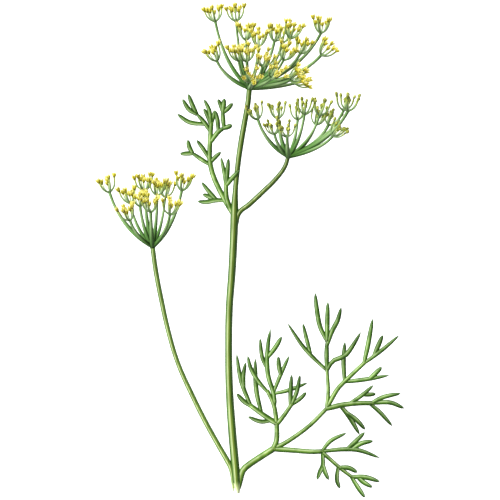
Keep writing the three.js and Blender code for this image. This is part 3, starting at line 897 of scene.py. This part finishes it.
def strand_pieces(models, strand, points, seed, palest):
    """One strand, drawn out along its points, and a rounded fork at its end where others leave it"""
    order = strand["order"]
    shares = [1 - (1 - k / STRAND_STEPS) ** STRAND_CROWDING for k in range(STRAND_STEPS + 1)]
    places = [place(spot(points, share)) for share in shares]
    wide = strand["wide"] * mix(*STRAND_WIDTHS, draw(seed + STRAND_WIDTH_SEED))
    widths = [wide * strand_share(order, share) for share in shares]

    def shade_at(co):
        if order == 0:
            return palest * min(1, (co - places[2]).length / (PETIOLE_FADE * MM))
        return palest * draw(seed)

    pieces = [drawn_out(models[order], places, widths, "Z_UP")]
    if order < 2:
        fork = part_ball(14, 10, widths[-1] * MM / 2, FORK_SQUEEZE, places[-1])
        mark(fork, "side", lambda co: FORK_SIDE)
        pieces.append(fork)
        for piece in pieces:
            mark(piece, "along", lambda co: 0)
    for piece in pieces:
        mark(piece, "shade", shade_at)
        mark(piece, "main", lambda co: RIB_TONES[order])
    return pieces


def leaf_piece(leaf, models):
    pieces = []
    for i, points in enumerate(leaf_routes(leaf)):
        pieces += strand_pieces(models, leaf["strands"][i], points, leaf["seed"] + i, leaf["palest"])
    piece = join(leaf["name"], pieces)
    dress(piece, LEAF_SKIN, "leaf", leaf["stands_for"])


# Umbels


def ray_frames(umbel):
    """For each ray: its hub, knee and tip, and the axis and side that its umbellet is set out from"""
    frames = []
    hub = Vector(umbel["hub"])
    for i, (x, y, z, size, *upright) in enumerate(umbel["rays"]):
        tip = Vector((x, y, z))
        reach = tip - hub
        knee = hub + Vector([share * part for share, part in zip(RAY_BEND, reach)])
        axis = (tip - knee).normalized().lerp(Vector((0, 1, 0)), sum(upright)).normalized()
        side = axis.cross(Vector((0, 0, 1))).normalized()
        frame = {"hub": hub, "knee": knee, "tip": tip, "axis": axis, "side": side}
        frames.append({**frame, "size": size, "seed": umbel["seed"] + RAY_STEP_SEED * i})
    return frames


def head_matrix(frame, ring, turn):
    """Sets a pedicel, modelled upright at full size, at its turn round the ray's end"""
    seed = frame["seed"]
    angle = 2 * math.pi * (draw(seed) + turn / RING_COUNT)
    front = frame["axis"].cross(frame["side"])
    radial = frame["side"] * math.cos(angle) + front * math.sin(angle)
    tangent = frame["axis"].cross(radial)
    chance = seed + ring["seed"] + turn
    away = frame["size"] * mix(*HEAD_REACHES, draw(chance))
    height = frame["size"] * mix(*HEAD_HEIGHTS, draw(chance + HEAD_HEIGHT_SEED))
    turned = Matrix((radial * away, tangent, frame["axis"] * height)).transposed().to_4x4()
    return Matrix.Translation(place(frame["tip"])) @ turned


def floret_matrix(head, top, lean, seed):
    """Sets a floret on the top of its pedicel, leaning outwards and turned by chance"""
    tangent = head.col[1].to_3d().normalized()
    radial = head.col[0].to_3d().normalized()
    up = (head.col[2].to_3d().normalized() + lean * radial).normalized()
    size = mix(*FLORET_SIZES, draw(seed))
    turned = Matrix((tangent.cross(up), tangent, up)).transposed().to_4x4()
    spin = Matrix.Rotation(2 * math.pi * draw(seed + FLORET_SPIN_SEED), 4, "Z")
    return Matrix.Translation(head @ top) @ turned @ spin @ Matrix.Scale(size, 4)


def ray_piece(umbel, model):
    shoots = []
    last = len(RAY_TAPER) - 1
    for frame in ray_frames(umbel):
        line = (frame["hub"], frame["knee"], frame["tip"])
        places = [place(arch(*line, k / last)) for k in range(len(RAY_TAPER))]
        stout = RAY_WIDE * mix(*RAY_WIDTHS, draw(frame["seed"] + RAY_WIDTH_SEED))
        shoot = drawn_out(model, places, [stout * share for share in RAY_TAPER])
        shade = mix(umbel["pale"], 1, draw(frame["seed"] + RAY_SHADE_SEED))
        mark(shoot, "shade", lambda co: shade)
        shoots.append(shoot)
    knob = part_ball(20, 10, HUB_RADIUS * MM, (1, 0.75, 1), place(umbel["hub"]))
    mark(knob, "along", lambda co: 0)
    mark(knob, "crest", lambda co: 0.6)
    mark(knob, "shade", lambda co: 0.5)
    piece = join(umbel["name"] + "_rays", [*shoots, knob])
    dress(piece, RAY_SKIN, "ray", umbel["name"])


def pedicel_model(name, ring, model):
    """A pedicel at full size, rising from the ray's end at the origin and bent out to its ring"""
    away = CUP_RADIUS * ring["spread"]
    height = CUP_HEIGHT * ring["rise"]
    line = (Vector((0, 0, 0)), Vector((away, 0, CUP_KNEE * height)), Vector((away, 0, height)))
    last = len(PEDICEL_TAPER) - 1
    places = [arch(*line, PEDICEL_END * k / last) * MM for k in range(len(PEDICEL_TAPER))]
    widths = [PEDICEL_WIDE * ring["stout"] * share for share in PEDICEL_TAPER]
    made = drawn_out(model, places, widths)
    made.name = name
    return made, places[-1]


def petal_model():
    """Five petals, each a thin folded blade that rises like the side of a goblet and curls in at its tip"""
    squeeze = (PETAL_HALF_THICK, PETAL_HALF_WIDE, PETAL_LONG / 2)
    petal = part_ball(segments=8, rings=9, radius=1, squeeze=squeeze, centre=(0, 0, PETAL_LONG / 2))
    mark(petal, "along", lambda co: co.z / PETAL_LONG)
    # crest runs from the petal's middle, where the finish paints shade, out to its edge
    mark(petal, "crest", lambda co: abs(co.y) / PETAL_HALF_WIDE)
    for start, out in PETAL_BENDS:
        edit(
            petal,
            lambda vertex: vertex.co.z > start,
            lambda: bpy.ops.transform.translate(value=(out, 0, 0)),
        )
    edit(
        petal,
        lambda vertex: abs(vertex.co.y) < PETAL_MIDLINE,
        lambda: bpy.ops.transform.translate(value=(-PETAL_FOLD, 0, 0)),
    )
    petals = []
    for k in range(PETAL_COUNT):
        turn = Matrix.Rotation(2 * math.pi * k / PETAL_COUNT, 4, "Z")
        petals.append(copy_of(petal, turn @ Matrix.Translation((PETAL_OUT, 0, PETAL_FOOT))))
    remove(petal)
    return gathered("petals", petals)


def gathered(name, parts):
    """Joins the parts of one floret, made in millimetres, and brings them to metres"""
    choose(*parts)
    bpy.ops.object.join()
    model = bpy.context.object
    model.name = name
    model.data.transform(Matrix.Scale(MM, 4))
    return model


def furrowed(ball, depth):
    """Draws every other line of points in, as on a ribbed ovary or between folded petals"""
    edit(
        ball,
        lambda vertex: round(math.atan2(vertex.co.y, vertex.co.x) / math.pi * PETAL_COUNT) % 2 == 1,
        lambda: bpy.ops.transform.resize(value=(1 - depth, 1 - depth, 1)),
    )


def heart_model():
    """The ribbed ovary under the petals, drawn down to the pedicel, and the cushion between them"""
    ovary = part_ball(segments=10, rings=7, radius=1, squeeze=(0.92, 0.92, 1.25), centre=(0, 0, 0.9))
    mark(ovary, "along", lambda co: 0.35 * co.z)
    furrowed(ovary, depth=0.16)
    edit(
        ovary,
        lambda vertex: vertex.co.z < 0.4,
        lambda: bpy.ops.transform.resize(value=(0.75, 0.75, 1)),
    )
    cushion = part_ball(segments=8, rings=5, radius=1, squeeze=(0.72, 0.72, 0.5), centre=(0, 0, 2.1))
    mark(cushion, "along", lambda co: 0.7 + (co.z - 1.6) / 3)
    return gathered("heart", [ovary, cushion])


def stamen_model():
    """Five stamens, which reach out between the petals"""
    parts = []
    for k in range(PETAL_COUNT):
        angle = 2 * math.pi * (k + 0.5) / PETAL_COUNT
        end = Vector((THREAD_OUT, 0, THREAD_HIGH + THREAD_STEP * (k % 2)))
        thread_line = end - THREAD_FOOT
        lean = thread_line.to_track_quat("Z", "Y").to_matrix().to_4x4()
        bpy.ops.object.select_all(action="DESELECT")
        bpy.ops.mesh.primitive_cone_add(vertices=3, radius1=0.1, radius2=0.06, depth=thread_line.length)
        thread = settle(bpy.context.object)
        thread.data.transform(Matrix.Translation((THREAD_FOOT + end) / 2) @ lean)
        mark(thread, "along", lambda co: 0.3)
        anther = part_ball(segments=4, rings=3, radius=1, squeeze=(0.27, 0.19, 0.17), centre=end)
        mark(anther, "along", lambda co: 1)
        for part in (thread, anther):
            part.data.transform(Matrix.Rotation(angle, 4, "Z"))
            parts.append(part)
    return gathered("stamens", parts)


def bud_model():
    """A closed bud: its ovary, and five petals folded over each other"""
    ovary = part_ball(segments=8, rings=5, radius=1, squeeze=(0.62, 0.62, 0.85), centre=(0, 0, 0.6))
    mark(ovary, "along", lambda co: 0.25 * co.z)
    squeeze = (BUD_WIDE / 2, BUD_WIDE / 2, 1.35)
    closed = part_ball(segments=10, rings=7, radius=1, squeeze=squeeze, centre=(0, 0, 2))
    mark(closed, "along", lambda co: 0.15 + 0.25 * co.z)
    furrowed(closed, depth=0.16)
    return gathered("bud", [ovary, closed])


def heads_round(umbel):
    """The ring and the turn of every head in an umbellet"""
    rings = (range(RING_COUNT), umbel["inner_turns"], (0,))
    return [(ring, turn) for ring, turns in enumerate(rings) for turn in turns]


def umbel_pieces(umbel, ray_model, pedicels, head_parts):
    """Rays, pedicels and heads of one umbel; head_parts are a name, model, finish and slot each"""
    ray_piece(umbel, ray_model)
    stalks = []
    heads = {part["name"]: [] for part in head_parts}
    for frame in ray_frames(umbel):
        boss = part_ball(8, 6, BOSS_RADIUS * MM, (1, 1, 1), place(frame["tip"]))
        mark(boss, "along", lambda co: 0)
        mark(boss, "shade", lambda co: 0)
        stalks.append(boss)
        for ring, turn in heads_round(umbel):
            pedicel = pedicels[ring]
            head = head_matrix(frame, pedicel["ring"], turn)
            stalk = copy_of(pedicel["model"], head)
            pale = INNER_PALE * min(1, ring) + (1 - INNER_PALE) * draw(frame["seed"] + turn)
            mark(stalk, "shade", lambda co: pale)
            stalks.append(stalk)
            seed = frame["seed"] + RING_COUNT * ring + turn + FLORET_SEED
            set_in = floret_matrix(head, pedicel["top"], pedicel["ring"]["lean"], seed)
            for part in head_parts:
                made = copy_of(part["model"], set_in)
                mark(made, "shade", lambda co: draw(seed + FLORET_SHADE_SEED))
                heads[part["name"]].append(made)
    piece = join(umbel["name"] + "_pedicels", stalks)
    dress(piece, PEDICEL_SKIN, "ray", umbel["name"])
    for part in head_parts:
        piece = join(f"{umbel['name']}_{part['name']}", heads[part["name"]])
        dress(piece, part["finish"], part["slot"], umbel["name"])


# The sprig

stem_model = ribbed_model("stem_model", ribs=14, loops=70, depth=0.09)
stalk_model = ribbed_model("stalk_model", ribs=10, loops=50, depth=0.1)
ray_model = ribbed_model("ray_model", ribs=5, loops=14, depth=0.12)
round_model = rod_model("round_model", sides=8, loops=9)
pith_model = rod_model("pith_model", sides=32, loops=30)
strand_models = [
    strand_model("petiole_model", flatness=0.75, groove=0.16),
    strand_model("rib_model", flatness=0.68, groove=0.15),
    strand_model("lobe_model", flatness=0.55, groove=0.12),
]
petals = petal_model()
heart = heart_model()
stamens = stamen_model()
bud = bud_model()
pedicels = []
for ring in (OUTER_RING, INNER_RING, MIDDLE_RING):
    model, top = pedicel_model("pedicel", ring, round_model)
    pedicels.append({"ring": ring, "model": model, "top": top})

ribbed_stem = stem_shoot(stem_model, MAIN_STEM)
cut_off(ribbed_stem, proud=0)
stem_piece("ribbed_stem", ribbed_stem, "main_stem", shade=0.7)
pith_piece(pith_model)
stem_piece("left_flower_stalk", stem_shoot(stalk_model, LEFT_STALK), "left_stalk", shade=1)
stem_piece("right_flower_stalk", stem_shoot(stalk_model, RIGHT_STALK), "right_stalk", shade=0.35)
leaf_piece(LOWER_FROND, strand_models)
leaf_piece(UPPER_FROND, strand_models)
flower_parts = [
    {"name": "petals", "model": petals, "finish": PETAL_SKIN, "slot": "floret"},
    {"name": "hearts", "model": heart, "finish": HEART_SKIN, "slot": "heart"},
    {"name": "stamens", "model": stamens, "finish": STAMEN_SKIN, "slot": "floret"},
]
bud_parts = [{"name": "buds", "model": bud, "finish": BUD_SKIN, "slot": "bud"}]
umbel_pieces(TOP_UMBEL, ray_model, pedicels, flower_parts)
umbel_pieces(LEFT_UMBEL, ray_model, pedicels, flower_parts)
umbel_pieces(RIGHT_UMBEL, ray_model, pedicels, bud_parts)
remove(stem_model, stalk_model, ray_model, round_model, pith_model, *strand_models)
remove(petals, heart, stamens, bud, *[pedicel["model"] for pedicel in pedicels])

# Floor, light and camera

FLOOR_WIDE = 6
FLOOR_GLOW = 0.15
WORLD_LIGHT = 0.32

bpy.ops.mesh.primitive_plane_add(size=FLOOR_WIDE)
floor = bpy.context.object
floor.name = "floor"
floor.data.materials.append(FLOOR)
floor_shader = FLOOR.node_tree.nodes["Principled BSDF"]
floor_shader.inputs["Emission Color"].default_value = (1, 1, 1, 1)
floor_shader.inputs["Emission Strength"].default_value = FLOOR_GLOW

world = bpy.data.worlds.new("studio")
world.use_nodes = True
world.node_tree.nodes["Background"].inputs["Color"].default_value = (1, 1, 1, 1)
world.node_tree.nodes["Background"].inputs["Strength"].default_value = WORLD_LIGHT
bpy.context.scene.world = world


def softbox(name, where, size, watts, shadows):
    """A round lamp that faces the middle; one without shadows is kept out of reflections too"""
    lamp = bpy.data.lights.new(name, "AREA")
    lamp.use_shadow = shadows
    lamp.shape = "DISK"
    lamp.size = size
    lamp.energy = watts
    made = bpy.data.objects.new(name, lamp)
    bpy.context.scene.collection.objects.link(made)
    made.location = where
    made.rotation_euler = (-Vector(where)).to_track_quat("-Z", "Y").to_euler()
    made.visible_glossy = shadows


softbox("key_light", (-2.1, 1.5, 3.3), size=2.4, watts=63, shadows=True)
softbox("form_light", (-2.55, 1.35, 2.55), size=1.5, watts=300, shadows=False)

# The frame is 300 mm wide at this height above the surface
FRAME_WIDE = 0.3
VIEW_FROM = 6
FRAME_LEVEL = 0.01
MIDDLE = (-0.0004, 0.0005)
SENSOR_WIDE = 36

camera_data = bpy.data.cameras.new("camera")
camera_data.sensor_width = SENSOR_WIDE
camera_data.lens = SENSOR_WIDE * (VIEW_FROM - FRAME_LEVEL) / FRAME_WIDE
camera = bpy.data.objects.new("camera", camera_data)
camera.location = (*MIDDLE, VIEW_FROM)
bpy.context.scene.collection.objects.link(camera)
bpy.context.scene.camera = camera
bpy.context.scene.view_settings.view_transform = "Standard"

bpy.context.view_layer.update()
